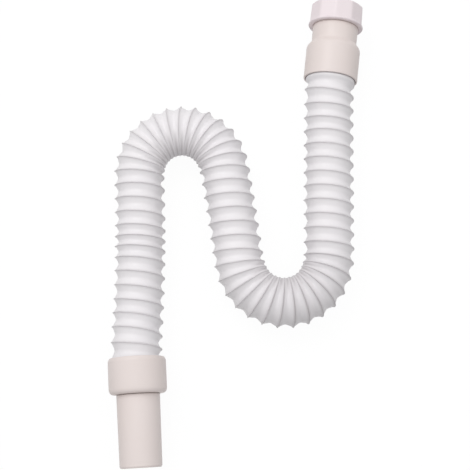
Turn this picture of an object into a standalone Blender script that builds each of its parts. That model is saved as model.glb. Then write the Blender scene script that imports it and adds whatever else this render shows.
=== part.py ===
"""Flexible sink trap: union nut, sealing washer, two moulded connectors and one corrugated hose.

The trap lies flat as it comes to rest, folded into an S of three legs and two bends.
The floor is Z = 0, the legs run along Y, and the inlet with the nut is at the +Y end.
"""
import math

import bmesh
import bpy
import numpy as np
from mathutils import Matrix, Vector

MM = 0.001

# Hose
HOSE_CREST_DIAMETER = 49.4
HOSE_RIDGE_DEPTH = 3.9
HOSE_WALL = 1.1
HOSE_PITCH = 13.95
HOSE_FIRST_RIDGE = 4.1
VALLEY_SHARE = 0.28
HOSE_END_DEPTH = 20.0
PLAIN_END = 6.0
CUFF_DEPTH = 0.15
CUFF_BLEND = 1.6
RIDGE_CLOSING = 0.62
INNER_CREST_DEPTH = 2.64
INNER_VALLEY_WALL = 1.76

# Route of the hose, from the mouth of the upper socket to the mouth of the lower one
RIGHT_LEG_LENGTH = 161.2
LOW_BEND_RADIUS = 43.2
LOW_BEND_ANGLE = 171.6
MIDDLE_LEG_LENGTH = 101.3
TOP_BEND_RADIUS = 41.5
TOP_BEND_ANGLE = 173.7
LEFT_LEG_LENGTH = 161.5
STRAIGHT_START = 6.0
TURN_IN_LENGTH = 14.0
UPPER_TURN_IN = 5.6
LOWER_TURN_IN = 6.5
UPPER_HEADING = -96.7
RIGHT_LEG_SWEEP = 0.5
MIDDLE_LEG_SWEEP = 1.6
LEFT_LEG_SWEEP = -5.9
BEND_EASING = 24.0
SETTLE_LENGTH = 55.0
UPPER_AXIS_HEIGHT = 27.5

# How the ridges crowd together
LOW_BEND_GATHER = 18.3
TOP_BEND_GATHER = 20.8
PINCH_PLACE = 69.0
PINCH_LENGTH = 27.0
PINCH_TURNS = 0.8

# Sockets that hold the hose
HOSE_CLEARANCE = 0.4
SEAT_CLEARANCE = 0.3
UPPER_SOCKET_WALL = 1.45
UPPER_SOCKET_LENGTH = 33.0
LOWER_SOCKET_WALL = 2.2
LOWER_SOCKET_LENGTH = 34.2
MOUTH_EDGE = 0.3
HOSE_LEDGE = 3.8
LEDGE_SLOPE_LENGTH = 4.0

# Upper connector
SHOULDER_LENGTH = 5.3
NECK_DIAMETER = 44.8
NECK_LENGTH = 17.3
COLLAR_DIAMETER = 45.7
FUNNEL_LENGTH = 6.3
THROAT_DIAMETER = 35.4
INLET_BORE = 31.0
FLANGE_DIAMETER = 38.2
FLANGE_THICKNESS = 2.6

# Union nut, G 1 1/4
NUT_SIDES = 10
NUT_CORNER_DIAMETER = 54.4
NUT_TAPER = 1.2
NUT_LENGTH = 22.0
NUT_CORNER_TURN = 12.2
NUT_THREAD_MINOR = 38.95
NUT_LIP_THICKNESS = 3.0
NUT_TOP_ROUND = 2.4
NUT_TOP_ROUND_LENGTH = 3.3
NUT_MOUTH_CHAMFER = 0.8
SKIRT_DIAMETER = 54.8
SKIRT_LENGTH = 2.4
SKIRT_BLEND = 0.9
SKIRT_EDGE = 0.4
NUT_CLEARANCE = 0.35

# Sealing washer
WASHER_THICKNESS = 2.6
WASHER_HOLE_DIAMETER = 31.4

# Lower connector
TAIL_TOP_DIAMETER = 41.2
TAIL_END_DIAMETER = 40.0
TAIL_LENGTH = 68.4
TAIL_BORE = 35.6
TAIL_EDGE = 0.7
FOOT_ROUND = 6.0
FOOT_ROUND_LENGTH = 8.0
LOWER_MOUTH_CHAMFER = 1.5
LOWER_CHAMFER_LENGTH = 2.8

# Fineness
HOSE_COLUMNS = 16
ROUND_COLUMNS = 20
NUT_COLUMNS_PER_SIDE = 2

CREST_R = HOSE_CREST_DIAMETER / 2
VALLEY_R = CREST_R - HOSE_RIDGE_DEPTH
CUFF_R = CREST_R - CUFF_DEPTH
ROUND_FACTOR = 1 / math.cos(math.pi / ROUND_COLUMNS)
SOCKET_BORE_R = (CREST_R + HOSE_CLEARANCE) * ROUND_FACTOR
UPPER_SOCKET_R = SOCKET_BORE_R + UPPER_SOCKET_WALL
LOWER_SOCKET_R = SOCKET_BORE_R + LOWER_SOCKET_WALL
HOSE_SEAT = HOSE_END_DEPTH + SEAT_CLEARANCE


def clear_scene():
    for obj in list(bpy.data.objects):
        bpy.data.objects.remove(obj, do_unlink=True)


def material(name, color, roughness, metallic=0.0):
    mat = bpy.data.materials.new(name)
    mat.use_nodes = True
    shader = mat.node_tree.nodes["Principled BSDF"]
    shader.inputs["Base Color"].default_value = (*color, 1.0)
    shader.inputs["Roughness"].default_value = roughness
    shader.inputs["Metallic"].default_value = metallic
    mat.diffuse_color = (*color, 1.0)
    return mat


def smoothstep(value, start, end):
    t = np.clip((value - start) / (end - start), 0.0, 1.0)
    return t * t * (3 - 2 * t)


def route():
    """Sample the hose's centre line every millimetre or so, with its heading and its turns."""
    low_length = LOW_BEND_RADIUS * math.radians(LOW_BEND_ANGLE)
    top_length = TOP_BEND_RADIUS * math.radians(TOP_BEND_ANGLE)
    lengths = [
        HOSE_END_DEPTH + STRAIGHT_START,
        TURN_IN_LENGTH,
        RIGHT_LEG_LENGTH,
        low_length,
        MIDDLE_LEG_LENGTH,
        top_length,
        LEFT_LEG_LENGTH,
        TURN_IN_LENGTH,
        STRAIGHT_START + HOSE_END_DEPTH,
    ]
    turns = [
        0.0,
        UPPER_TURN_IN,
        RIGHT_LEG_SWEEP,
        -LOW_BEND_ANGLE,
        MIDDLE_LEG_SWEEP,
        TOP_BEND_ANGLE,
        LEFT_LEG_SWEEP,
        LOWER_TURN_IN,
        0.0,
    ]
    knots = np.concatenate([[0.0], np.cumsum(lengths)]) - HOSE_END_DEPTH
    headings = UPPER_HEADING + np.concatenate([[0.0], np.cumsum(turns)])
    first, last = knots[0], knots[-1]
    along = np.linspace(first, last, int(round((last - first) / 0.75)) + 1)
    window = np.linspace(-BEND_EASING / 2, BEND_EASING / 2, 49)
    heading = np.radians(np.mean([np.interp(along + d, knots, headings) for d in window], axis=0))

    step = along[1] - along[0]
    middle = (heading[1:] + heading[:-1]) / 2
    x = np.concatenate([[0.0], np.cumsum(np.cos(middle)) * step])
    y = np.concatenate([[0.0], np.cumsum(np.sin(middle)) * step])
    mouth_end = last - HOSE_END_DEPTH
    sink = 1 - smoothstep(along, 0.0, SETTLE_LENGTH)
    rise = smoothstep(along, mouth_end - SETTLE_LENGTH, mouth_end)
    z = CREST_R + (UPPER_AXIS_HEIGHT - CREST_R) * sink + (LOWER_SOCKET_R - CREST_R) * rise
    slope = np.gradient(z, step)

    # Ridges crowd where the hose bends, and in one pinched place of the left leg
    low = (along > knots[2] - BEND_EASING) & (along < (knots[4] + knots[5]) / 2)
    gather = np.where(low, LOW_BEND_GATHER, TOP_BEND_GATHER)
    curve = np.gradient(heading, step)
    bent = (along > knots[3] - BEND_EASING) & (along < knots[6] + BEND_EASING)
    rate = (1 + gather * np.abs(curve) * bent) / HOSE_PITCH
    offset = np.clip((along - knots[6] - PINCH_PLACE) / PINCH_LENGTH, -1.0, 1.0)
    rate = rate + PINCH_TURNS * (1 + np.cos(math.pi * offset)) / (2 * PINCH_LENGTH)
    count = np.concatenate([[0.0], np.cumsum((rate[1:] + rate[:-1]) / 2) * step])
    count = count - np.interp(HOSE_FIRST_RIDGE, along, count)
    return along, np.stack([x, y, z], axis=1), heading, slope, count, curve, 1 / rate


ALONG, CENTRE, HEADING, SLOPE, COUNT, CURVE, SPACING = route()
FIRST, LAST = ALONG[0], ALONG[-1]


def place_at(s):
    """Frame on the centre line: its point, its direction, its left side and its upper side."""
    point = Vector([float(np.interp(s, ALONG, CENTRE[:, k])) for k in range(3)])
    angle = float(np.interp(s, ALONG, HEADING))
    rise = float(np.interp(s, ALONG, SLOPE))
    tangent = Vector((math.cos(angle), math.sin(angle), rise)).normalized()
    side = Vector((-math.sin(angle), math.cos(angle), 0.0))
    return point, tangent, side, tangent.cross(side)


def finish_object(name, bm, mat, parent, sharp=35.0):
    mesh = bpy.data.meshes.new(name)
    bm.to_mesh(mesh)
    bm.free()
    obj = bpy.data.objects.new(name, mesh)
    bpy.context.scene.collection.objects.link(obj)
    obj.data.materials.append(mat)
    mesh.shade_smooth()
    mesh.set_sharp_from_angle(angle=math.radians(sharp))
    obj.parent = parent
    return obj


def spun(profile, columns):
    """Spin a closed outline of (radius, height) pairs in millimetres about the local Z axis."""
    bm = bmesh.new()
    verts = [bm.verts.new((r * MM, 0.0, h * MM)) for r, h in profile]
    edges = [bm.edges.new((verts[k], verts[(k + 1) % len(verts)])) for k in range(len(verts))]
    bmesh.ops.spin(
        bm,
        geom=verts + edges,
        cent=(0, 0, 0),
        axis=(0, 0, 1),
        angle=2 * math.pi,
        steps=columns,
        use_merge=True,
    )
    bmesh.ops.remove_doubles(bm, verts=bm.verts, dist=1e-6)
    bmesh.ops.recalc_face_normals(bm, faces=bm.faces)
    return bm


def set_on_axis(obj, s):
    """Stand a turned piece on the centre line, its local +Z pointing against the flow."""
    point, tangent, side, up = place_at(s)
    axis = Vector((0.0, 0.0, 1.0)).cross(side).normalized()
    turn = Matrix((side, axis.cross(side), axis)).transposed()
    obj.location = point * MM
    obj.rotation_euler = turn.to_euler()
    return axis


def rounded(corner, start, end, steps):
    """Points of a round corner between two points beside it, as a quadratic curve."""
    points = []
    for k in range(steps + 1):
        t = k / steps
        a, b, c = (1 - t) ** 2, 2 * t * (1 - t), t * t
        points.append(tuple(a * p + b * q + c * r for p, q, r in zip(start, corner, end)))
    return points


# Hose

def ridge_rows(start, end, shape):
    """Row positions in turns, with the radius of each row, for one repeating profile."""
    rows = []
    for turn in range(math.floor(start) - 1, math.ceil(end) + 2):
        rows += [(turn + share, radius) for share, radius in shape]
    return [row for row in rows if start <= row[0] <= end]


def ridge_left(s, lateral):
    """Share of the ridge's depth that is left at a place where the bend presses the folds together."""
    spacing = float(np.interp(s, ALONG, SPACING)) * (1 - float(np.interp(s, ALONG, CURVE)) * lateral)
    return min(max(spacing / (RIDGE_CLOSING * HOSE_PITCH), 0.0), 1.0) ** 2


def cuff_share(s):
    """One inside a fitting, where the hose is a plain cuff, and zero where its ridge is full."""
    mouth = LAST - HOSE_END_DEPTH
    inlet = 1 - smoothstep(s, -CUFF_BLEND, CUFF_BLEND)
    return float(inlet + smoothstep(s, mouth - CUFF_BLEND, mouth + CUFF_BLEND))


def helical_wall(bm, shape, plain_radius, inside):
    """One wall of the hose: rows follow the left-handed ridge, and both ends become plain cuffs."""
    per_turn = len(shape)
    columns = HOSE_COLUMNS
    first_turn = float(np.interp(FIRST + PLAIN_END, ALONG, COUNT))
    last_turn = float(np.interp(LAST - PLAIN_END, ALONG, COUNT))
    rows = ridge_rows(first_turn + 1, last_turn, shape)

    def corner(s, radius, column):
        point, tangent, side, up = place_at(s)
        angle = 2 * math.pi * column / columns
        spot = point + radius * (math.cos(angle) * side + math.sin(angle) * up)
        return bm.verts.new(spot * MM)

    grid = []
    for turn, full in rows:
        line = []
        for column in range(columns):
            count = turn - column / columns
            s = float(np.interp(count, COUNT, ALONG))
            if not inside:
                lateral = CREST_R * math.cos(2 * math.pi * column / columns)
                radius = CREST_R - (CREST_R - full) * ridge_left(s, lateral)
            else:
                radius = full
            line.append(corner(s, radius + (plain_radius - radius) * cuff_share(s), column))
        grid.append(line)
    near = [corner(FIRST, plain_radius, column) for column in range(columns)]
    far = [corner(LAST, plain_radius, column) for column in range(columns)]

    def face(*verts):
        bm.faces.new(verts[::-1] if inside else verts)

    total = len(rows)
    end = columns - 1
    for m in range(total - 1):
        for column in range(end):
            face(grid[m][column], grid[m][column + 1], grid[m + 1][column + 1], grid[m + 1][column])
    for m in range(per_turn, total - 1):
        face(grid[m][end], grid[m - per_turn][0], grid[m - per_turn + 1][0], grid[m + 1][end])
    for column in range(end):
        face(near[column], near[column + 1], grid[0][column + 1], grid[0][column])
        face(grid[-1][column], grid[-1][column + 1], far[column + 1], far[column])

    # The ridge starts and stops as a step, closed by one fan at each end
    seam = [near[end]] + [grid[m][end] for m in range(per_turn + 1)]
    for low, high in zip(seam, seam[1:]):
        face(low, grid[0][0], high)
    face(near[end], near[0], grid[0][0])
    seam = [grid[m][0] for m in range(total - 1 - per_turn, total)] + [far[0]]
    for low, high in zip(seam, seam[1:]):
        face(grid[-1][end], low, high)
    face(grid[-1][end], far[0], far[end])
    return near, far


def build_hose(parent, mat):
    crest, valley = CREST_R, VALLEY_R
    half = VALLEY_SHARE / 2
    outer_shape = [(0.0, crest), (0.5 - half, valley), (0.5 + half, valley)]
    inner_shape = [(0.0, crest - INNER_CREST_DEPTH), (0.5, valley - INNER_VALLEY_WALL)]
    bm = bmesh.new()
    outer_near, outer_far = helical_wall(bm, outer_shape, CUFF_R, False)
    inner_near, inner_far = helical_wall(bm, inner_shape, CUFF_R - 2 * HOSE_WALL, True)
    for column in range(HOSE_COLUMNS):
        nxt = (column + 1) % HOSE_COLUMNS
        bm.faces.new((outer_near[nxt], outer_near[column], inner_near[column], inner_near[nxt]))
        bm.faces.new((outer_far[column], outer_far[nxt], inner_far[nxt], inner_far[column]))
    bmesh.ops.triangulate(bm, faces=bm.faces)
    bmesh.ops.recalc_face_normals(bm, faces=bm.faces)
    return finish_object("hose", bm, mat, parent, sharp=75.0)


# Fittings

def build_upper_connector(parent, mat):
    bore = CUFF_R - HOSE_LEDGE
    shoulder = UPPER_SOCKET_LENGTH + SHOULDER_LENGTH
    collar = shoulder + NECK_LENGTH
    lip = collar + 2 * NUT_CLEARANCE + NUT_LIP_THICKNESS
    flange = lip + FLANGE_THICKNESS
    outside = [(SOCKET_BORE_R, 0.0), (UPPER_SOCKET_R - MOUTH_EDGE, 0.0), (UPPER_SOCKET_R, MOUTH_EDGE)]
    start, end = (UPPER_SOCKET_R, UPPER_SOCKET_LENGTH), (NECK_DIAMETER / 2, shoulder)
    middle = (UPPER_SOCKET_R, (UPPER_SOCKET_LENGTH + shoulder) / 2)
    outside += rounded(middle, start, end, 2)
    outside += [(COLLAR_DIAMETER / 2, collar), (THROAT_DIAMETER / 2, collar)]
    outside += [(THROAT_DIAMETER / 2, lip), (FLANGE_DIAMETER / 2, lip)]
    outside += [(FLANGE_DIAMETER / 2, flange), (INLET_BORE / 2, flange)]
    inside = [(INLET_BORE / 2, shoulder + FUNNEL_LENGTH), (bore, HOSE_SEAT + LEDGE_SLOPE_LENGTH)]
    inside += [(bore, HOSE_SEAT), (SOCKET_BORE_R, HOSE_SEAT)]
    obj = finish_object("upper_connector", spun(outside + inside, ROUND_COLUMNS), mat, parent)
    set_on_axis(obj, 0.0)
    return collar, flange


def build_washer(parent, mat, seat):
    low, high = seat + SEAT_CLEARANCE, seat + SEAT_CLEARANCE + WASHER_THICKNESS
    outer, inner = FLANGE_DIAMETER / 2, WASHER_HOLE_DIAMETER / 2
    ring = [(outer, low), (outer, high), (inner, high), (inner, low)]
    obj = finish_object("sealing_washer", spun(ring, ROUND_COLUMNS), mat, parent)
    set_on_axis(obj, 0.0)


def nut_section(angle, cap, height):
    """Radius of the nut's tapered, many-sided outline at an angle, no further out than the cap."""
    corner = (NUT_CORNER_DIAMETER - NUT_TAPER * height / NUT_LENGTH) / 2
    sector = 2 * math.pi / NUT_SIDES
    local = (angle + sector / 2) % sector - sector / 2
    flat = corner * math.cos(sector / 2) / math.cos(sector / 2 - abs(local))
    return min(flat, cap)


def build_nut(parent, mat, seat):
    columns = NUT_SIDES * NUT_COLUMNS_PER_SIDE
    corner, top = NUT_CORNER_DIAMETER / 2, NUT_LENGTH
    skirt = SKIRT_DIAMETER / 2
    thread = NUT_THREAD_MINOR / 2 / math.cos(math.pi / columns)
    hole = (THROAT_DIAMETER / 2 + NUT_CLEARANCE) / math.cos(math.pi / columns)
    round_start, round_end = (corner, top - NUT_TOP_ROUND_LENGTH), (corner - NUT_TOP_ROUND, top)
    stations = [
        (hole, hole, 0.0),
        (skirt - SKIRT_EDGE, skirt - SKIRT_EDGE, 0.0),
        (skirt, skirt, SKIRT_EDGE),
        (skirt, skirt, SKIRT_LENGTH - SKIRT_BLEND),
        (0.0, corner, SKIRT_LENGTH),
    ]
    stations += [(0.0, cap, height) for cap, height in rounded((corner, top), round_start, round_end, 2)]
    stations += [
        (thread + NUT_MOUTH_CHAMFER, thread + NUT_MOUTH_CHAMFER, top),
        (thread, thread, top - NUT_MOUTH_CHAMFER),
        (thread, thread, NUT_LIP_THICKNESS),
        (hole, hole, NUT_LIP_THICKNESS),
    ]
    bm = bmesh.new()
    loops = []
    for low, cap, height in stations:
        loop = []
        for column in range(columns):
            angle = 2 * math.pi * column / columns
            radius = cap if low == cap else nut_section(angle, cap, height)
            spot = Vector((radius * math.cos(angle), radius * math.sin(angle), height))
            loop.append(bm.verts.new(spot * MM))
        loops.append(loop)
    for k, loop in enumerate(loops):
        nxt = loops[(k + 1) % len(loops)]
        for column in range(columns):
            other = (column + 1) % columns
            bm.faces.new((loop[column], loop[other], nxt[other], nxt[column]))
    bmesh.ops.recalc_face_normals(bm, faces=bm.faces)
    obj = finish_object("union_nut", bm, mat, parent, sharp=12.0)
    axis = set_on_axis(obj, 0.0)
    turn = Matrix.Rotation(math.radians(NUT_CORNER_TURN), 3, axis)
    obj.location = obj.location + axis * (seat + NUT_CLEARANCE) * MM
    obj.rotation_euler = (turn @ obj.rotation_euler.to_matrix()).to_euler()


def build_lower_connector(parent, mat):
    bore = CUFF_R - HOSE_LEDGE
    foot = LOWER_SOCKET_LENGTH
    tail_top, tail_end = TAIL_TOP_DIAMETER / 2, TAIL_END_DIAMETER / 2
    end = foot + TAIL_LENGTH
    outside = [(SOCKET_BORE_R + MOUTH_EDGE, 0.0), (LOWER_SOCKET_R - LOWER_MOUTH_CHAMFER, 0.0)]
    outside += [(LOWER_SOCKET_R, LOWER_CHAMFER_LENGTH)]
    start, stop = (LOWER_SOCKET_R, foot - FOOT_ROUND_LENGTH), (LOWER_SOCKET_R - FOOT_ROUND, foot)
    outside += rounded((LOWER_SOCKET_R, foot), start, stop, 3)
    outside += [(tail_top, foot), (tail_end, end - TAIL_EDGE), (tail_end - TAIL_EDGE, end)]
    inside = [(TAIL_BORE / 2, end), (TAIL_BORE / 2, foot), (bore, HOSE_SEAT + LEDGE_SLOPE_LENGTH)]
    inside += [(bore, HOSE_SEAT), (SOCKET_BORE_R, HOSE_SEAT), (SOCKET_BORE_R, MOUTH_EDGE)]
    profile = [(r, -h) for r, h in outside + inside]
    obj = finish_object("lower_connector", spun(profile, ROUND_COLUMNS), mat, parent)
    set_on_axis(obj, LAST - HOSE_END_DEPTH)


def centre_on_floor(root):
    """Move the whole trap so that its box stands centred on the origin, its lowest point at zero."""
    bpy.context.view_layer.update()
    corners = []
    for obj in bpy.context.scene.objects:
        if obj.type == "MESH":
            corners += [obj.matrix_world @ v.co for v in obj.data.vertices]
    cloud = np.array(corners)
    low, high = cloud.min(axis=0), cloud.max(axis=0)
    root.location = (-(low[0] + high[0]) / 2, -(low[1] + high[1]) / 2, -low[2])


def main():
    clear_scene()
    root = bpy.data.objects.new("trap", None)
    bpy.context.scene.collection.objects.link(root)
    hose_white = material("hose_white", (0.80, 0.79, 0.79), 0.34)
    fitting_white = material("fitting_white", (0.80, 0.765, 0.745), 0.42)
    nut_white = material("nut_white", (0.80, 0.755, 0.765), 0.45)
    seal_rubber = material("seal_rubber", (0.035, 0.035, 0.038), 0.8)
    build_hose(root, hose_white)
    collar, flange = build_upper_connector(root, fitting_white)
    build_nut(root, nut_white, collar)
    build_washer(root, seal_rubber, flange)
    build_lower_connector(root, fitting_white)
    centre_on_floor(root)


main()
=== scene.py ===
import math

import bmesh
import bpy
import numpy as np
from mathutils import Matrix, Vector


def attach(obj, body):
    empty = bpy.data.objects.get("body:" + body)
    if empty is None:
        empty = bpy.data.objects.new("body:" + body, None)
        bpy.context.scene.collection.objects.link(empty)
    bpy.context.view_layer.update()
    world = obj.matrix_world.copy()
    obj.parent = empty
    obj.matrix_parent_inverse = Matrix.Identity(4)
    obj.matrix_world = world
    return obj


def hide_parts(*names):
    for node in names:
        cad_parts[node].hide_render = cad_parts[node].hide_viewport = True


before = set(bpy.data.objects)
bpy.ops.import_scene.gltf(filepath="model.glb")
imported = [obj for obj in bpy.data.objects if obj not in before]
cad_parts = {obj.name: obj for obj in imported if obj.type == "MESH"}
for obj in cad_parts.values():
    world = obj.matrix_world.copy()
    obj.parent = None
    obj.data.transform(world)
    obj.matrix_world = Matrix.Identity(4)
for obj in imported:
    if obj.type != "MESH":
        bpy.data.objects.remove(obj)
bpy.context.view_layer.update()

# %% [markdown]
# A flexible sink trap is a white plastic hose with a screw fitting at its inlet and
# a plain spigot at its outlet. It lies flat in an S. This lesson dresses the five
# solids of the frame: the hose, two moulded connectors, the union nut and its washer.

MM = 0.001


def placed(name, data):
    """A new object for a mesh, a lamp or a camera, in the scene."""
    made = bpy.data.objects.new(name, data)
    bpy.context.scene.collection.objects.link(made)
    return made


# %% [markdown]
# The photograph looks down on the trap from the outlet's side, through a lens that
# leaves the far end about eight percent smaller than the near one. A distance of
# 1.07 m and a tilt of 11.3 degrees give that, and the frame's 470 pixels then cover
# 459 mm at the height of the hose's centre line.

# %% Camera
LOOK_AT = Vector((-4.375, -6.94, 24.7)) * MM
VIEW_TILT = math.radians(11.3)
VIEW_DISTANCE = 1.0746
VIEW_WIDTH = 0.4587
SENSOR_WIDTH = 36.0

camera_data = bpy.data.cameras.new("photo_camera")
camera_data.sensor_width = SENSOR_WIDTH
camera_data.lens = SENSOR_WIDTH * VIEW_DISTANCE / VIEW_WIDTH
camera_data.clip_end = 20.0
camera = placed("photo_camera", camera_data)
backwards = Vector((0.0, -math.sin(VIEW_TILT), math.cos(VIEW_TILT)))
camera.location = LOOK_AT + VIEW_DISTANCE * backwards
camera.rotation_euler = (VIEW_TILT, 0.0, 0.0)
bpy.context.scene.camera = camera
bpy.context.scene.view_settings.view_transform = "Standard"
print("camera lens", round(camera_data.lens, 1), "mm")

# %% [markdown]
# A shader is easier to read as sums and products than as a web of nodes. This small
# class wraps one socket, and each operator on it adds the Math node that does it.
# Any other node comes from one method, which takes its type, settings and inputs.


# %% Shader maths
class Value:
    def __init__(self, tree, socket):
        self.tree, self.socket = tree, socket

    def math(self, operation, *others):
        return node(self.tree, "ShaderNodeMath", {"operation": operation}, [self, *others])

    def __add__(self, other):
        return self.math("ADD", other)

    def __sub__(self, other):
        return self.math("SUBTRACT", other)

    def __mul__(self, other):
        return self.math("MULTIPLY", other)

    def __truediv__(self, other):
        return self.math("DIVIDE", other)

    def __pow__(self, other):
        return self.math("POWER", other)

    def __rsub__(self, other):
        return node(self.tree, "ShaderNodeMath", {"operation": "SUBTRACT"}, [other, self])

    __radd__ = __add__
    __rmul__ = __mul__

    def clamped(self):
        return node(self.tree, "ShaderNodeClamp", {}, [self])


def node(tree, kind, settings, inputs, output=0):
    """Add a node, set it up, fill or link its sockets, and give back one of its outputs."""
    made = tree.nodes.new(kind)
    for name, value in settings.items():
        setattr(made, name, value)
    pairs = inputs.items() if isinstance(inputs, dict) else enumerate(inputs)
    for key, value in pairs:
        if isinstance(value, Value):
            tree.links.new(value.socket, made.inputs[key])
        else:
            made.inputs[key].default_value = value
    return Value(tree, made.outputs[output])


def mixed(tree, factor, first, second):
    picks = {"Factor": factor, 6: first, 7: second}
    return node(tree, "ShaderNodeMix", {"data_type": "RGBA"}, picks, 2)


def rgb(*levels):
    """Linear colour from the 0 to 255 levels that a colour picker shows."""
    parts = [level / 255 for level in levels]
    linear = [v / 12.92 if v <= 0.04045 else ((v + 0.055) / 1.055) ** 2.4 for v in parts]
    return (*linear, 1.0)


def empty_tree(owner):
    """The node tree of a material or a world, cleared of what it starts with."""
    owner.use_nodes = True
    owner.node_tree.nodes.clear()
    return owner.node_tree


def show(tree, result, kind="ShaderNodeOutputMaterial"):
    tree.links.new(result.socket, tree.nodes.new(kind).inputs["Surface"])


print("white 234 is", round(rgb(234, 234, 234)[0], 3), "linear")

# %% [markdown]
# The floor is white for the camera and still takes the trap's soft shadow: for camera
# rays its shader is mostly a plain white glow, with a share of the real shading left in.
# Mirror and glass rays see the same white. Rays that carry light see a plain pale grey,
# so the floor throws back no more light than real paper does.

# %% Floor and backdrop
FLOOR_SIZE = 6.0
FLOOR_GREY = 195
FLOOR_GLOW = 1.06
SHADOW_SHARE = 0.10
WHITE = (1, 1, 1, 1)
BACKGROUND_RAYS = ("Is Camera Ray", "Is Glossy Ray", "Is Transmission Ray")


def background_rays(tree):
    """One for camera, mirror and glass rays, which show the white background, and else zero."""
    kinds = [node(tree, "ShaderNodeLightPath", {}, {}, name) for name in BACKGROUND_RAYS]
    return (kinds[0] + kinds[1] + kinds[2]).clamped()


def floor_material():
    mat = bpy.data.materials.new("studio_floor")
    tree = empty_tree(mat)
    seen = background_rays(tree)
    grey = rgb(FLOOR_GREY, FLOOR_GREY, FLOOR_GREY)
    shade = node(tree, "ShaderNodeBsdfDiffuse", {}, {"Color": grey})
    glow = node(tree, "ShaderNodeEmission", {}, {"Color": WHITE, "Strength": FLOOR_GLOW})
    show(tree, node(tree, "ShaderNodeMixShader", {}, [seen * (1 - SHADOW_SHARE), shade, glow]))
    return mat


floor_mesh = bpy.data.meshes.new("studio_floor")
half = FLOOR_SIZE / 2
floor_corners = [(-half, -half, 0), (half, -half, 0), (half, half, 0), (-half, half, 0)]
floor_mesh.from_pydata(floor_corners, [], [(0, 1, 2, 3)])
floor_mesh.materials.append(floor_material())
placed("studio_floor", floor_mesh)
print("floor", FLOOR_SIZE, "m wide")

# %% [markdown]
# The light in the photograph is broad and soft. It comes from above, a little from the
# left and from beyond the nut, so each ridge has its paler flank on that side, and every
# right side is a little greyer. A pale room that is brightest overhead gives most of it,
# one large lamp adds the direction, and a weaker one opens the shadows on the right.

# %% Lamps
LAMPS = {  # place in metres, width in metres, power in watts
    "key": ((-0.50, 0.75, 1.40), 0.8, 5.2),
    "fill": ((0.70, -0.30, 1.40), 1.2, 0.8),
}


def add_lamp(name, place, size, power):
    data = bpy.data.lights.new(name, "AREA")
    data.shape = "DISK"
    data.size = size
    data.energy = power
    lamp = placed(name, data)
    lamp.location = place
    lamp.rotation_euler = (-Vector(place)).to_track_quat("-Z", "Y").to_euler()


for lamp_name, (place, size, power) in LAMPS.items():
    add_lamp(lamp_name, place, size, power)
print(len(LAMPS), "lamps")

# %% [markdown]
# The room is the world's own light. Its level falls from one bright direction towards
# the horizon, as under a large ceiling, and what only shows the background sees white.

# %% Room
ROOM_LEVEL = 1.20
HORIZON_LEVEL = 0.28
ROOM_FALLOFF = 1.5
BRIGHTEST = (-0.10, 0.22, 0.97)

world = bpy.data.worlds.new("studio")
bpy.context.scene.world = world
tree = empty_tree(world)
around = background_rays(tree)
aim = node(tree, "ShaderNodeTexCoord", {}, {}, "Generated")
facing = node(tree, "ShaderNodeVectorMath", {"operation": "DOT_PRODUCT"}, [aim, BRIGHTEST], 1)
soft = HORIZON_LEVEL + (ROOM_LEVEL - HORIZON_LEVEL) * facing.clamped() ** ROOM_FALLOFF
level = around + (1 - around) * soft
glow = node(tree, "ShaderNodeBackground", {}, {"Color": WHITE, "Strength": level})
show(tree, glow, "ShaderNodeOutputWorld")
print("room level", HORIZON_LEVEL, "to", ROOM_LEVEL)

# %% [markdown]
# The hose's line is three legs and two bends, turned in a little where it enters each
# fitting. Each stretch has a length and a turn, and the heading is averaged over a short
# window, so that straight runs ease into the bends. Its height falls from the sockets'
# radius to the hose's own, because the hose rests on the floor by its ridges.

# %% Sizes of the hose and its sockets, in millimetres and degrees
CREST_R = 24.7
VALLEY_R = 20.8
CUFF_R = 24.55
HOSE_PITCH = 13.95
HOSE_CLEARANCE = 0.4
BORE_SIDES = 20  # the solid's bores have 20 sides, and the round ones here meet their corners
SOCKET_BORE_R = (CREST_R + HOSE_CLEARANCE) / math.cos(math.pi / BORE_SIDES)
UPPER_SOCKET_R = SOCKET_BORE_R + 1.45
LOWER_SOCKET_R = SOCKET_BORE_R + 2.2
UPPER_AXIS_HEIGHT = 27.5
END_DEPTH = 20.0
PLAIN_END = 6.0
TURN_IN = 14.0
LOW_BEND_R, LOW_BEND_TURN = 43.2, 171.6
TOP_BEND_R, TOP_BEND_TURN = 41.5, 173.7
START_HEADING = -96.7
ROOT = Vector((93.313, 170.04, 0.0))

STRETCHES = [  # length and turn, from the inlet's end of the hose to the outlet's
    (END_DEPTH + PLAIN_END, 0.0),
    (TURN_IN, 5.6),
    (161.2, 0.5),
    (LOW_BEND_R * math.radians(LOW_BEND_TURN), -LOW_BEND_TURN),
    (101.3, 1.6),
    (TOP_BEND_R * math.radians(TOP_BEND_TURN), TOP_BEND_TURN),
    (161.5, -5.9),
    (TURN_IN, 6.5),
    (PLAIN_END + END_DEPTH, 0.0),
]
print("hose", round(sum(length for length, turn in STRETCHES)), "mm long")

# %% The hose's line
EASING = 24.0
EASING_SAMPLES = 49
SETTLE = 55.0
LINE_STEP = 0.75


def running_sum(steps):
    return np.concatenate([[0.0], np.cumsum(steps)])


def smoothstep(value, start, end):
    t = np.clip((value - start) / (end - start), 0.0, 1.0)
    return t * t * (3 - 2 * t)


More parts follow.
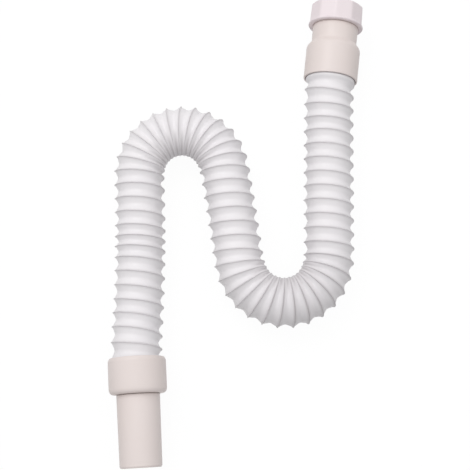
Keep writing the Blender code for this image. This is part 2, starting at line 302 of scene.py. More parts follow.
def hose_line():
    """Lengths at the stretches' ends, and along the line its length, heading, place and slope."""
    knots = running_sum([length for length, turn in STRETCHES]) - END_DEPTH
    headings = START_HEADING + running_sum([turn for length, turn in STRETCHES])
    samples = int(round((knots[-1] - knots[0]) / LINE_STEP)) + 1
    along = np.linspace(knots[0], knots[-1], samples)
    window = np.linspace(-EASING / 2, EASING / 2, EASING_SAMPLES)
    eased = np.mean([np.interp(along + d, knots, headings) for d in window], axis=0)
    heading = np.radians(eased)
    step = along[1] - along[0]
    middle = (heading[1:] + heading[:-1]) / 2
    x = ROOT.x + running_sum(np.cos(middle)) * step
    y = ROOT.y + running_sum(np.sin(middle)) * step
    end = knots[-1] - END_DEPTH
    sink = 1 - smoothstep(along, 0.0, SETTLE)
    rise = smoothstep(along, end - SETTLE, end)
    z = CREST_R + (UPPER_AXIS_HEIGHT - CREST_R) * sink + (LOWER_SOCKET_R - CREST_R) * rise
    return knots, along, heading, np.stack([x, y, z], axis=1), np.gradient(z, step)


KNOTS, ALONG, HEADING, CENTRE, SLOPE = hose_line()
BEND = np.gradient(HEADING, ALONG[1] - ALONG[0])
OUTLET_MOUTH = ALONG[-1] - END_DEPTH
print("line", round(ALONG[-1] - ALONG[0]), "mm,", len(ALONG), "samples")

# %% [markdown]
# One ridge winds round the whole hose as a left-handed helix. Its turns crowd together
# where the hose bends, and in one pinched place of the left leg. The count of turns along
# the line tells where the ridge is, so the line is sampled again at even steps of turns.

# %% The ridge's rhythm
LOW_GATHER, TOP_GATHER = 18.3, 20.8
PINCH_PLACE, PINCH_LENGTH, PINCH_TURNS = 69.0, 27.0, 0.8
FIRST_RIDGE = 4.1


def ridge_count():
    """The number of turns from the first ridge, and the length of one turn, along the line."""
    low_start, low_end, top_start, top_end = KNOTS[3:7]
    gather = np.where(ALONG < (low_end + top_start) / 2, LOW_GATHER, TOP_GATHER)
    bending = (ALONG > low_start - EASING) & (ALONG < top_end + EASING)
    rate = (1 + gather * np.abs(BEND) * bending) / HOSE_PITCH
    offset = np.clip((ALONG - top_end - PINCH_PLACE) / PINCH_LENGTH, -1.0, 1.0)
    rate = rate + PINCH_TURNS * (1 + np.cos(math.pi * offset)) / (2 * PINCH_LENGTH)
    count = running_sum((rate[1:] + rate[:-1]) / 2) * (ALONG[1] - ALONG[0])
    return count - np.interp(FIRST_RIDGE, ALONG, count), 1 / rate


COUNT, SPACING = ridge_count()
FIRST_TURN = math.floor(COUNT[0])
TURNS = math.ceil(COUNT[-1]) - FIRST_TURN + 1
print("ridge turns", round(COUNT[-1] - COUNT[0], 1))

# %% [markdown]
# Each point of the line carries three vectors. Two are the side and up directions of the
# hose there. The third, "press", holds how tightly the folds stand, how sharply the line
# bends, and how much of the smooth cuff there is. The cuff at each end hides in its
# socket, and at the inlet it reaches out of the mouth by a few millimetres.

# %% The line of turns
SAMPLES_PER_TURN = 32
CUFF_END = (1.2, 5.0)
CUFF_BLEND = 1.6


def line_of_turns():
    """A chain of points at even steps of turns, with the vectors that the hose is built on."""
    turns = FIRST_TURN + np.arange(TURNS * SAMPLES_PER_TURN + 1) / SAMPLES_PER_TURN
    s = np.interp(turns, COUNT, ALONG)
    points = np.stack([np.interp(s, ALONG, CENTRE[:, k]) for k in range(3)], axis=1) * MM
    angle, rise = np.interp(s, ALONG, HEADING), np.interp(s, ALONG, SLOPE)
    side = np.stack([-np.sin(angle), np.cos(angle), 0 * angle], axis=1)
    tangent = np.stack([np.cos(angle), np.sin(angle), rise], axis=1)
    tangent /= np.linalg.norm(tangent, axis=1)[:, None]
    spacing = np.interp(s, ALONG, SPACING) / HOSE_PITCH
    bend = np.interp(s, ALONG, BEND) * CREST_R
    inlet_cuff = 1 - smoothstep(s, *CUFF_END)
    outlet_cuff = smoothstep(s, OUTLET_MOUTH - CUFF_BLEND, OUTLET_MOUTH + CUFF_BLEND)
    press = np.stack([spacing, bend, inlet_cuff + outlet_cuff], axis=1)
    mesh = bpy.data.meshes.new("hose_line")
    mesh.from_pydata(points.tolist(), [], [])
    for name, vectors in (("side", side), ("up", np.cross(tangent, side)), ("press", press)):
        stored = mesh.attributes.new(name, "FLOAT_VECTOR", "POINT")
        stored.data.foreach_set("vector", vectors.ravel())
    return mesh


hose_line_mesh = line_of_turns()
print(len(hose_line_mesh.vertices), "points on the line of turns")

# %% [markdown]
# Two pieces follow a rule, the hose and the nut's thread, so Geometry Nodes make them.
# Both trees start alike, with a mesh and named sizes, and end alike, with real geometry
# in its material. A tree runs as a modifier, and its result is kept as a plain mesh.


# %% Growing a piece from a tree
def growing_tree(name, values):
    """A tree with one named input for each value, and links to them all."""
    tree = bpy.data.node_groups.new(name, "GeometryNodeTree")
    sockets = tree.interface
    sockets.new_socket("Geometry", in_out="INPUT", socket_type="NodeSocketGeometry")
    for label, value in values.items():
        kind = "NodeSocketInt" if isinstance(value, int) else "NodeSocketFloat"
        sockets.new_socket(label, in_out="INPUT", socket_type=kind).default_value = value
    sockets.new_socket("Geometry", in_out="OUTPUT", socket_type="NodeSocketGeometry")
    entries = tree.nodes.new("NodeGroupInput").outputs
    return tree, {label: Value(tree, entries[label]) for label in ("Geometry", *values)}


def end_tree(tree, geometry, material):
    real = node(tree, "GeometryNodeRealizeInstances", {}, {"Geometry": geometry})
    finish = {"Geometry": real, "Material": material}
    coated = node(tree, "GeometryNodeSetMaterial", {}, finish)
    tree.links.new(coated.socket, tree.nodes.new("NodeGroupOutput").inputs[0])


def grown(name, mesh, tree, values):
    """Run a tree on a mesh, and give back its result as an object, with its faces outwards."""
    source = placed(name + "_source", mesh)
    modifier = source.modifiers.new("grow", "NODES")
    modifier.node_group = tree
    for item in tree.interface.items_tree:
        if item.in_out == "INPUT" and item.name in values:
            modifier[item.identifier] = values[item.name]
    bpy.context.view_layer.update()
    depsgraph = bpy.context.evaluated_depsgraph_get()
    result = bpy.data.meshes.new_from_object(source.evaluated_get(depsgraph))
    result.name = name
    bpy.data.objects.remove(source, do_unlink=True)
    bm = bmesh.new()
    bm.from_mesh(result)
    bmesh.ops.recalc_face_normals(bm, faces=bm.faces)
    bm.to_mesh(result)
    bm.free()
    return placed(name, result)


hose_white = bpy.data.materials.new("hose_white")
nut_white = bpy.data.materials.new("nut_white")
print("two materials wait for their shaders")

# %% [markdown]
# The hose is blow-moulded: a thin wall that rises to a narrow crest and falls to a broad
# shallow valley. A flat grid is rolled up to make it. Its rows run round the hose and are
# sheared by one turn from seam to seam, so each row lies along the helix and the crest is
# one unbroken edge. The rows go out along the outer wall, closer together near the crest,
# and come back along the inner one. A merge then closes the seam and both ends.

# %% Rows of the hose
ROWS_PER_TURN = 16
INNER_STEP = 4
CROWDING = 0.35


def hose_rows(tree, given):
    """The grid, and for each of its points the values that say where it goes."""
    inner_rows = given["Turns"] * (ROWS_PER_TURN / INNER_STEP) + 1
    outer_rows = (inner_rows - 1) * INNER_STEP + 1
    columns = given["Columns"] + 1
    counts = {"Vertices X": outer_rows + inner_rows + 1, "Vertices Y": columns}
    grid = node(tree, "GeometryNodeMeshGrid", {}, counts)
    index = node(tree, "GeometryNodeInputIndex", {}, {})
    row = ((index + 0.5) / columns).math("FLOOR")
    column = index - row * columns
    back = row.math("GREATER_THAN", outer_rows - 0.5)
    closing = row.math("GREATER_THAN", outer_rows + inner_rows - 0.5)
    inner = back - closing
    inner_row = (outer_rows - 1) - (row - outer_rows) * INNER_STEP
    place = row * (1 - back) + inner_row * inner
    whole = (place / ROWS_PER_TURN).math("ROUND")
    share = place / ROWS_PER_TURN - whole
    share = share * (share.math("ABSOLUTE") * (2 - 2 * CROWDING) + CROWDING)
    turn = whole + share - column / (columns - 1)
    turn = turn.math("MAXIMUM", given["First Turn"]).math("MINIMUM", given["Last Turn"])
    angle = column * (2 * math.pi) / (columns - 1)
    return grid, turn, share, angle, inner


print(ROWS_PER_TURN, "rows for each turn of the ridge")

# %% [markdown]
# The ridge's section is a broad flank with a narrow edge on top. On the inner side of a
# bend the folds touch, and their ridge all but closes up. The tree works out how much
# room a fold has there, and it stores two values for the material: how high a point
# stands on the ridge, and how far its fold has closed.

# %% Hose tree
FLANK_REACH, FLANK_POWER = 0.46, 1.15
EDGE_REACH, EDGE_SHARE = 0.05, 0.22
CREST_WALL = 0.6
FOLD_POWER = 3
MERGE_DISTANCE = 0.00001


def ridge_height(share):
    """One on the crest and nothing in the valley, for a share of a turn from the crest."""
    reach = share.math("ABSOLUTE")
    flank = (1 - reach / FLANK_REACH).math("MAXIMUM", 0.0) ** FLANK_POWER
    edge = (1 - reach / EDGE_REACH).math("MAXIMUM", 0.0)
    return flank * (1 - EDGE_SHARE) + edge * EDGE_SHARE


def line_reader(tree, given, turn):
    """A function that reads a vector of the line of turns between its two nearest points."""
    spot = turn * SAMPLES_PER_TURN
    low = spot.math("FLOOR")
    part = spot - low

    def read(name):
        if name == "place":
            source = node(tree, "GeometryNodeInputPosition", {}, {})
        else:
            kind = {"data_type": "FLOAT_VECTOR"}
            source = node(tree, "GeometryNodeInputNamedAttribute", kind, {"Name": name})
        kind = {"data_type": "FLOAT_VECTOR", "clamp": True}
        ends = []
        for k in (0, 1):
            inputs = {"Geometry": given["Geometry"], "Value": source, "Index": low + k}
            ends.append(node(tree, "GeometryNodeSampleIndex", kind, inputs))
        picks = {"Factor": part, 4: ends[0], 5: ends[1]}
        return node(tree, "ShaderNodeMix", {"data_type": "VECTOR"}, picks, 1)

    return read


def scaled(vector, factor):
    inputs = {0: vector, "Scale": factor}
    return node(vector.tree, "ShaderNodeVectorMath", {"operation": "SCALE"}, inputs)


def joined(first, second):
    return node(first.tree, "ShaderNodeVectorMath", {"operation": "ADD"}, [first, second])


def marked(geometry, name, value):
    kind = {"data_type": "FLOAT", "domain": "POINT"}
    inputs = {"Geometry": geometry, "Name": name, "Value": value}
    return node(geometry.tree, "GeometryNodeStoreNamedAttribute", kind, inputs)


def hose_tree(values):
    tree, given = growing_tree("corrugated_hose", values)
    grid, turn, share, angle, inner = hose_rows(tree, given)
    read = line_reader(tree, given, turn)
    press = read("press")
    spacing, bend, cuff = (node(tree, "ShaderNodeSeparateXYZ", {}, [press], k) for k in range(3))

    # The radius: a ridge that closes on the inner side of a bend, and a cuff at each end
    height = ridge_height(share)
    room = spacing * (1 - bend * angle.math("COSINE")) / given["Closing"]
    left = room.clamped() ** 2
    depth = (given["Crest Radius"] - given["Valley Radius"]) * (1 - height)
    ridge = given["Crest Radius"] - depth * (left * (1 - inner) + inner)
    radius = ridge + (given["Cuff Radius"] - ridge) * cuff
    radius = radius - given["Wall"] * (1 + height * CREST_WALL) * inner

    # The place, and the two values for the material
    across = scaled(read("side"), radius * angle.math("COSINE"))
    upward = scaled(read("up"), radius * angle.math("SINE"))
    spots = {"Geometry": grid, "Position": joined(read("place"), joined(across, upward))}
    rolled = node(tree, "GeometryNodeSetPosition", {}, spots)
    # The material paints shade from these two values: along the crest, and in closed folds.
    rolled = marked(rolled, "ridge", height * (1 - cuff))
    rolled = marked(rolled, "fold", (1 - left) * (1 - height) ** FOLD_POWER * (1 - cuff))
    ends = {"Geometry": rolled, "Distance": MERGE_DISTANCE}
    closed = node(tree, "GeometryNodeMergeByDistance", {}, ends)
    smooth = node(tree, "GeometryNodeSetShadeSmooth", {}, {"Geometry": closed})
    end_tree(tree, smooth, hose_white)
    return tree


print("section: flank", 1 - EDGE_SHARE, "and edge", EDGE_SHARE, "of the ridge's height")

# %% [markdown]
# The tree runs once with this hose's own sizes. Its wall is a little over a millimetre,
# and thicker behind the crest. Folds start to close where a turn has less than 62 percent
# of its usual room.

# %% Hose
HOSE_WALL = 1.2
FOLD_CLOSING = 0.62
HOSE_COLUMNS = 64
HOSE_SIZES = {
    "Crest Radius": CREST_R * MM, "Valley Radius": VALLEY_R * MM, "Cuff Radius": CUFF_R * MM,
    "Wall": HOSE_WALL * MM, "Closing": FOLD_CLOSING,
    "First Turn": float(COUNT[0] - FIRST_TURN), "Last Turn": float(COUNT[-1] - FIRST_TURN),
    "Turns": TURNS + 1, "Columns": HOSE_COLUMNS,
}
hose = grown("hose_corrugated", hose_line_mesh, hose_tree(HOSE_SIZES), HOSE_SIZES)
print("hose triangles", sum(len(p.vertices) - 2 for p in hose.data.polygons))

# %% [markdown]
# The two connectors and the washer are turned shapes. Each is an outline of radius and
# height with a small rounding at each corner, spun about its axis. Real mouldings have no
# sharp edges, and the light line along a rounded rim is what shows them.

# %% Turned outlines
ROUND_STEPS = 112
SIDE_SHARE = 0.48
LEAST_ROUND, FINE_ROUND, BROAD_ROUND = 0.02, 0.6, 3.0
TURNED_SHARP = 40.0


def softened(outline):
    """Turn each (radius, height, rounding) corner into an arc. A pair rounds its sides apart."""
    points = []
    for k, (r, h, rounding) in enumerate(outline):
        here = Vector((r, h))
        before = Vector(outline[k - 1][:2]) - here
        after = Vector(outline[(k + 1) % len(outline)][:2]) - here
        if isinstance(rounding, tuple):
            back, on = rounding
        else:
            back = on = min(rounding, SIDE_SHARE * before.length, SIDE_SHARE * after.length)
        if on < LEAST_ROUND:
            points.append(here)
            continue
        start, end = here + before.normalized() * back, here + after.normalized() * on
        steps = 3 if on <= FINE_ROUND else 5 if on < BROAD_ROUND else 9
        for i in range(steps + 1):
            t = i / steps
            points.append((1 - t) ** 2 * start + 2 * t * (1 - t) * here + t * t * end)
    return points


def stood(s):
    """The place of a fitting on the hose's line at s, with its own Z against the line's heading."""
    point = Vector([float(np.interp(s, ALONG, CENTRE[:, k])) for k in range(3)]) * MM
    angle = float(np.interp(s, ALONG, HEADING))
    side = Vector((-math.sin(angle), math.cos(angle), 0.0))
    axis = Vector((0.0, 0.0, 1.0)).cross(side).normalized()
    turn = Matrix((side, axis.cross(side), axis)).transposed().to_4x4()
    return Matrix.Translation(point) @ turn


def smooth_piece(name, bm, sharp):
    """An object from a bmesh, smooth but for edges that turn by more than sharp degrees."""
    mesh = bpy.data.meshes.new(name)
    bm.to_mesh(mesh)
    bm.free()
    mesh.shade_smooth()
    mesh.set_sharp_from_angle(angle=math.radians(sharp))
    return placed(name, mesh)


def turned(name, outline, s):
    bm = bmesh.new()
    points = softened(outline)
    verts = [bm.verts.new((p.x * MM, 0.0, p.y * MM)) for p in points]
    edges = [bm.edges.new((verts[k], verts[(k + 1) % len(verts)])) for k in range(len(verts))]
    bmesh.ops.spin(bm, geom=verts + edges, cent=(0, 0, 0), axis=(0, 0, 1),
                   angle=2 * math.pi, steps=ROUND_STEPS, use_merge=True)
    bmesh.ops.remove_doubles(bm, verts=bm.verts, dist=1e-6)
    bmesh.ops.recalc_face_normals(bm, faces=bm.faces)
    bm.transform(stood(s))
    return smooth_piece(name, bm, TURNED_SHARP)


print("a turned piece has", ROUND_STEPS, "steps round")

# %% [markdown]
# Both connectors hold the hose in the same way, so their bores share one outline. The
# cuff slides in through a mouth with a thin lip, and it stops on a ledge that slopes away
# behind, so that nothing catches on it.

# %% Socket bore
HOSE_SEAT = END_DEPTH + 0.3
LEDGE_R = CUFF_R - 3.8
LEDGE_SLOPE = 4.0
LIP_R = CREST_R + 0.35
LIP_DEPTH, BORE_START = 2.2, 2.8


def socket_bore(slope_round):
    """Outline corners from the foot of the ledge's slope out to the mouth's lip."""
    return [
        (LEDGE_R, HOSE_SEAT + LEDGE_SLOPE, slope_round), (LEDGE_R, HOSE_SEAT, 0.3),
        (SOCKET_BORE_R, HOSE_SEAT, 0.3), (SOCKET_BORE_R, BORE_START, 0.2),
        (LIP_R, LIP_DEPTH, 0.2),
    ]


print("hose seats", HOSE_SEAT, "mm deep")

# %% [markdown]
# The upper connector holds the hose in a socket, draws in over a rounded shoulder to a
# neck, widens a little to a collar, and ends inside the nut in a throat and a flange. The
# nut can't come off it: its lip is caught between the collar and the flange. The washer
# lies on the flange, where the sink's waste presses on it.

# %% Upper connector and washer
UPPER_SOCKET = 33.0
SHOULDER = UPPER_SOCKET + 5.3
FUNNEL = SHOULDER + 6.3
COLLAR = SHOULDER + 17.3
COLLAR_TOP = COLLAR + 0.2
LIP = COLLAR + 3.7
FLANGE = LIP + 2.6
NECK_R, COLLAR_R, THROAT_R, FLANGE_R, INLET_BORE_R = 22.4, 22.85, 17.7, 19.1, 15.5
WASHER_R = 15.7
WASHER_FOOT, WASHER_TOP = FLANGE + 0.3, FLANGE + 2.9

upper_outline = [
    (LIP_R, 0.0, 0.2), (UPPER_SOCKET_R, 0.0, 0.7), (UPPER_SOCKET_R, UPPER_SOCKET, 2.2),
    (NECK_R, SHOULDER, 1.0), (COLLAR_R, COLLAR_TOP, 0.15), (THROAT_R, COLLAR_TOP, 0.15),
    (THROAT_R, LIP, 0.3), (FLANGE_R, LIP, 0.4), (FLANGE_R, FLANGE, 0.4),
    (INLET_BORE_R, FLANGE, 0.4), (INLET_BORE_R, FUNNEL, 2.0), *socket_bore(2.0),
]
upper_connector = turned("inlet_connector", upper_outline, 0.0)

washer_outline = [
    (FLANGE_R, WASHER_FOOT, 0.3), (FLANGE_R, WASHER_TOP, 0.3),
    (WASHER_R, WASHER_TOP, 0.3), (WASHER_R, WASHER_FOOT, 0.3),
]
washer = turned("inlet_washer", washer_outline, 0.0)
print("connector", len(upper_connector.data.polygons), "faces")

# %% [markdown]
# The lower connector is one moulding: a thicker socket with rounded edges, and the plain
# spigot, which tapers a little because it has to leave its mould. A narrow groove parts
# the two, and it shows as a thin dark line. The spigot's end is chamfered, so that it
# slips into a seal.

# %% Lower connector
FOOT = 34.2
FOOT_ROUND = (6.0, 5.0)
GROOVE_R, GROOVE_TOP = 19.8, FOOT + 0.6
SPIGOT_R, SPIGOT_END_R, SPIGOT_BORE_R = 20.6, 20.0, 17.8
SPIGOT_END = FOOT + 68.4
CHAMFER_R, CHAMFER_LENGTH = 18.9, 1.6

lower_outline = [
    (LIP_R, 0.0, 0.3), (LOWER_SOCKET_R - 1.5, 0.0, 0.5), (LOWER_SOCKET_R, 2.8, 1.4),
    (LOWER_SOCKET_R, FOOT, FOOT_ROUND), (GROOVE_R, FOOT, 0.1), (GROOVE_R, GROOVE_TOP, 0.1),
    (SPIGOT_R, GROOVE_TOP, 0.1), (SPIGOT_END_R, SPIGOT_END - CHAMFER_LENGTH, 0.2),
    (CHAMFER_R, SPIGOT_END, 0.1), (SPIGOT_BORE_R, SPIGOT_END, 0.4), (SPIGOT_BORE_R, FOOT, 1.0),
    *socket_bore(1.0),
]
away_from_mouth = [(r, -h, rounding) for r, h, rounding in lower_outline]
lower_connector = turned("outlet_connector", away_from_mouth, OUTLET_MOUTH)
print("connector", len(lower_connector.data.polygons), "faces")

# %% [markdown]
# The union nut has ten flat sides for a grip, a rounded top edge and a round flared rim at
# its lower edge. Its section changes round the axis: it follows the flat-sided outline,
# kept inside a round cap that draws in towards the top, so the corners fade out there as
# on a real moulding. Each corner is also eased by a fifth of a millimetre.

# %% Nut section
NUT_SIDES = 10
NUT_CORNER_R = 27.2
NUT_TAPER = 0.6
NUT_LENGTH = 22.0
CORNER_EASE, CORNER_WIDTH = 0.22, 0.045
NUT_LIP_R, NUT_LIP = 18.05, 3.0
RIM_R, RIM_ROUND = 27.4, 1.3
RIM_TO_FLATS = ((1.8, 0.15), (2.2, 0.45), (2.7, 0.8), (3.3, 1.0))
FLATS_MIDDLE, TOP_ROWS_START, TOP_ROWS = 8.0, 12.88375, 10
TOP_CAP_R = 27.3
TOP_ROUND, TOP_MARGIN = 3.6, 0.15
CAP_BLEND = 0.5
MOUTH_R, MOUTH_EDGE_R = 20.6, 20.25
THREAD_MINOR_R = 38.95 / 2


def flat_side(angle, height):
    sector = 2 * math.pi / NUT_SIDES
    local = abs((angle + sector / 2) % sector - sector / 2)
    corner = NUT_CORNER_R - NUT_TAPER * height / NUT_LENGTH
    flat = corner * math.cos(sector / 2) / math.cos(sector / 2 - local)
    return flat - CORNER_EASE * math.exp(-((local / CORNER_WIDTH) ** 2))


def soft_min(a, b, width):
    h = min(max(0.5 + 0.5 * (b - a) / width, 0.0), 1.0)
    return b * (1 - h) + a * h - width * h * (1 - h)


def nut_section(angle):
    """Radius and height pairs at an angle, from the lip's hole round the outside and back."""
    rows = [(NUT_LIP_R, 0.0), (RIM_R - RIM_ROUND, 0.0)]
    for degrees in range(18, 91, 18):
        t = math.radians(degrees)
        rows.append((RIM_R - RIM_ROUND * (1 - math.sin(t)), RIM_ROUND * (1 - math.cos(t))))
    for height, blend in RIM_TO_FLATS:
        rows.append((RIM_R * (1 - blend) + flat_side(angle, height) * blend, height))
    for height in (FLATS_MIDDLE, *np.linspace(TOP_ROWS_START, NUT_LENGTH, TOP_ROWS)):
        part = max(height - (NUT_LENGTH - TOP_ROUND), 0.0) / (TOP_ROUND + TOP_MARGIN)
        cap = TOP_CAP_R - TOP_ROUND * (1 - math.sqrt(1 - part ** 2))
        rows.append((soft_min(flat_side(angle, height), cap, CAP_BLEND), height))
    bore = THREAD_MINOR_R + 0.05
    rows += [(MOUTH_R, NUT_LENGTH), (MOUTH_EDGE_R, NUT_LENGTH - 0.3), (bore, NUT_LENGTH - 1.1)]
    rows += [(bore, NUT_LIP + 0.4), (THREAD_MINOR_R - 0.4, NUT_LIP), (NUT_LIP_R, NUT_LIP)]
    return rows


print("nut section", len(nut_section(0.0)), "points")

# %% [markdown]
# One section stands at each of 160 angles, and a skin of quads joins each to the next.

# %% Nut body
NUT_COLUMNS = NUT_SIDES * 16
NUT_TURN = 12.2
NUT_BASE = COLLAR + 0.35
NUT_SHARP = 28.0


def nut_body():
    bm = bmesh.new()
    loops = []
    for k in range(NUT_COLUMNS):
        angle = 2 * math.pi * k / NUT_COLUMNS
        spots = [(r * math.cos(angle), r * math.sin(angle), h) for r, h in nut_section(angle)]
        loops.append([bm.verts.new([c * MM for c in spot]) for spot in spots])
    for k, loop in enumerate(loops):
        following = loops[(k + 1) % NUT_COLUMNS]
        for j in range(len(loop)):
            i = (j + 1) % len(loop)
            bm.faces.new((loop[j], loop[i], following[i], following[j]))
    bmesh.ops.recalc_face_normals(bm, faces=bm.faces)
    return bm


nut_place = (stood(0.0) @ Matrix.Translation((0, 0, NUT_BASE * MM))
             @ Matrix.Rotation(math.radians(NUT_TURN), 4, "Z"))
nut_bm = nut_body()
nut_bm.transform(nut_place)
nut = smooth_piece("nut_grip", nut_bm, NUT_SHARP)
print("nut", len(nut.data.polygons), "faces")

# %% [markdown]
# Inside the nut runs a right-handed G 1 1/4 thread: a ridge that climbs 2.309 mm a turn
# between diameters of 41.9 and 38.95 mm. It follows a rule, so a small tree sweeps a
# blunt tooth along a helix, and its thickness fades at both ends, as a moulded thread's
# does.

# %% Nut thread
THREAD_PITCH = 2.309
THREAD_TURNS = 6.2
THREAD_POINTS = 420
THREAD_START = 5.2
THREAD_OFFSET = 0.3
THREAD_FADE = 14
LEAST_TOOTH = 0.06
TOOTH_SIDES, TOOTH_SHARE = 6, 0.33
THREAD_SIZES = {
    "Minor Radius": THREAD_MINOR_R * MM, "Pitch": THREAD_PITCH * MM, "Turns": THREAD_TURNS,
}


def thread_tree(values):
    tree, given = growing_tree("nut_thread", values)
    radius = given["Minor Radius"] + THREAD_OFFSET * MM
    helix = {"Resolution": int(THREAD_POINTS / THREAD_TURNS), "Rotations": given["Turns"],
             "Start Radius": radius, "End Radius": radius,
             "Height": given["Turns"] * given["Pitch"], "Reverse": False}
    spiral = node(tree, "GeometryNodeCurveSpiral", {}, helix)
    along = node(tree, "GeometryNodeSplineParameter", {}, {}, "Factor")
    rise = (along * THREAD_FADE).math("MINIMUM", 1.0)
    fall = ((1 - along) * THREAD_FADE).math("MINIMUM", 1.0)
    thickness = rise * fall * (1 - LEAST_TOOTH) + LEAST_TOOTH
    path = {"Curve": spiral, "Radius": thickness}
    tapered = node(tree, "GeometryNodeSetCurveRadius", {}, path)
    section = {"Resolution": TOOTH_SIDES, "Radius": given["Pitch"] * TOOTH_SHARE}
    tooth = node(tree, "GeometryNodeCurvePrimitiveCircle", {}, section)
    sweep = {"Curve": tapered, "Profile Curve": tooth, "Fill Caps": True}
    end_tree(tree, node(tree, "GeometryNodeCurveToMesh", {}, sweep), nut_white)
    return tree


seed_mesh = bpy.data.meshes.new("thread_seed")
thread = grown("nut_thread", seed_mesh, thread_tree(THREAD_SIZES), THREAD_SIZES)
thread.data.transform(nut_place @ Matrix.Translation((0, 0, THREAD_START * MM)))
thread.data.shade_smooth()
print("thread", len(thread.data.polygons), "faces")

# %% [markdown]
# All the mouldings are white polypropylene. Each batch has its own tint: the nut leans to
# pink, the connectors to a warm white, and the hose is the most neutral and the glossiest.
# The colour drifts a little over the surface, the gloss is uneven on a scale of a few
# millimetres, and a very fine grain breaks the highlights. In narrow corners, where little
# light gets in, the colour turns towards a grey brown: this is painted shade.

# %% Surface of the plastics
BROAD, FINE, PEEL = (18.0, 3.0), (260.0, 4.0), (1500.0, 2.0)  # a noise's scale and detail
DRIFT_START, DRIFT_GAIN = 0.35, 1.6
# These set the painted shade: ambient occlusion darkens the colour where corners close in.
CREVICE_REACH, CREVICE_SAMPLES = 0.0028, 8
CREVICE_START, CREVICE_GAIN = 0.35, 2.4
BROAD_GLOSS, FINE_GLOSS = 0.10, 0.08
GRAIN_HEIGHT, FINE_SHARE = 0.0001, 0.4
PLASTIC_IOR = 1.49


def noise(tree, where, scale, detail):
    inputs = {"Vector": where, "Scale": scale, "Detail": detail}
    return node(tree, "ShaderNodeTexNoise", {}, inputs)


def plastic(mat, pale, deep, crevice_shade, gloss, grain, marks=None):
    """Fill in a white plastic: two tints, a painted corner shade, a roughness and a strength of
    grain.
    """
    tree = empty_tree(mat)
    where = node(tree, "ShaderNodeTexCoord", {}, {}, "Object")
    broad, fine, peel = (noise(tree, where, *scale) for scale in (BROAD, FINE, PEEL))
    colour = mixed(tree, ((broad - DRIFT_START) * DRIFT_GAIN).clamped(), pale, deep)
    settings, near = {"samples": CREVICE_SAMPLES}, {"Distance": CREVICE_REACH}
    # Painted shade: the colour turns towards the shade colour in narrow corners.
    unshaded_share = node(tree, "ShaderNodeAmbientOcclusion", settings, near, 1)
    unshaded_share = ((unshaded_share - CREVICE_START) * CREVICE_GAIN).clamped()
    if marks:
        unshaded_share = unshaded_share * marks(tree, where, broad)
    made = {
        "Base Color": mixed(tree, unshaded_share, crevice_shade, colour),
        "Roughness": gloss + (broad - 0.5) * BROAD_GLOSS + (fine - 0.5) * FINE_GLOSS,
        "IOR": PLASTIC_IOR,
    }
    height = fine * FINE_SHARE + peel * (1 - FINE_SHARE)
    relief = {"Strength": grain, "Distance": GRAIN_HEIGHT, "Height": height}
    made["Normal"] = node(tree, "ShaderNodeBump", {}, relief)
    show(tree, node(tree, "ShaderNodeBsdfPrincipled", {}, made))


print("grain", GRAIN_HEIGHT / MM, "mm high")

# %% [markdown]
# On the hose, the same painted corner shade darkens the closed folds and, weaker, the crest.
# The low bend is a little greyer than the legs in the photograph, its crests most of all, so
# it gets a soft greyer patch, and the painted shade on its crests is stronger there.

# %% Painted shade of the hose, and the three plastics
FOLD_SHADE = 0.9
CREST_SHADE = 0.28
CREST_START, CREST_RANGE = 0.45, 0.4
GREY_SHADE = 0.22
GREY_CREST_SHADE = 0.45
GREY_PLACE = (0.066, -0.084, 0.025)
GREY_REACH = 0.085


def hose_shade_and_grey(tree, where, broad):
    """What the painted shade of the hose's folds and crests, and its greyer patch, leave of the
    plain colour.
    """
    fold, ridge = (node(tree, "ShaderNodeAttribute", {"attribute_name": name}, {}, 2)
                   for name in ("fold", "ridge"))
    crest = ((ridge - CREST_START) / CREST_RANGE).clamped()
    measure = {"operation": "DISTANCE"}
    away = node(tree, "ShaderNodeVectorMath", measure, [where, GREY_PLACE], 1)
    patch = (1 - away / GREY_REACH).clamped() * (broad + 0.5)
    # Painted shade along the crests, stronger inside the greyer patch.
    crest_shade_lines = crest * (patch * GREY_CREST_SHADE + CREST_SHADE)
    # Painted shade in the closed folds and on the crests, times the greyer patch.
    return (1 - fold * FOLD_SHADE) * (1 - crest_shade_lines) * (1 - patch * GREY_SHADE)


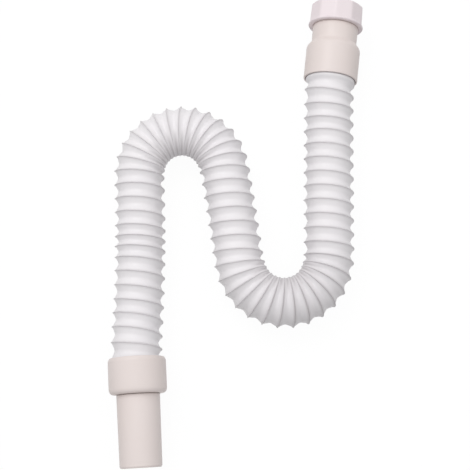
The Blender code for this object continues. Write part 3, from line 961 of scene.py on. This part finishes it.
fitting_white = bpy.data.materials.new("fitting_white")
# The third colour of each plastic is its painted shade for narrow corners.
plastic(fitting_white, rgb(233, 222, 219), rgb(229, 217, 212), rgb(160, 143, 136), 0.42, 0.25)
plastic(nut_white, rgb(241, 230, 233), rgb(238, 226, 229), rgb(194, 170, 160), 0.46, 0.25)
plastic(hose_white, rgb(240, 237, 239), rgb(237, 234, 237), rgb(176, 170, 172), 0.40, 0.15,
        hose_shade_and_grey)
print("three white plastics")

# %% [markdown]
# The washer is black rubber: dull, with a fine powdery bloom.

# %% Rubber
BLOOM = (320.0, 5.0)
RUBBER_ROUGH, BLOOM_ROUGH = 0.7, 0.2
DIMPLES = 0.4

seal_rubber = bpy.data.materials.new("seal_rubber")
tree = empty_tree(seal_rubber)
bloom = noise(tree, node(tree, "ShaderNodeTexCoord", {}, {}, "Object"), *BLOOM)
relief = {"Strength": DIMPLES, "Distance": GRAIN_HEIGHT, "Height": bloom}
rubber = {
    "Base Color": mixed(tree, bloom, rgb(40, 40, 42), rgb(66, 66, 68)),
    "Roughness": RUBBER_ROUGH + bloom * BLOOM_ROUGH,
    "Normal": node(tree, "ShaderNodeBump", {}, relief),
}
show(tree, node(tree, "ShaderNodeBsdfPrincipled", {}, rubber))
print("rubber")

# %% [markdown]
# Each piece takes its material, stands for its solid in the frame and rides on its body,
# so the nut turns with its thread while everything else stays with the trap.

# %% Riding and replacing
DRESSED = [
    (hose, hose_white, "trap", "hose", "hose_plastic"),
    (upper_connector, fitting_white, "trap", "upper_connector", "fitting_plastic"),
    (lower_connector, fitting_white, "trap", "lower_connector", "fitting_plastic"),
    (washer, seal_rubber, "trap", "sealing_washer", "seal_rubber"),
    (nut, nut_white, "nut", "union_nut", "nut_plastic"),
    (thread, nut_white, "nut", "union_nut", "nut_plastic"),
]
for piece, mat, body, solid, slot in DRESSED:
    piece.data.materials.clear()
    piece.data.materials.append(mat)
    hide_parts(solid)
    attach(piece, body)
print(len(DRESSED), "pieces dressed")

# %% The end
print("the end")
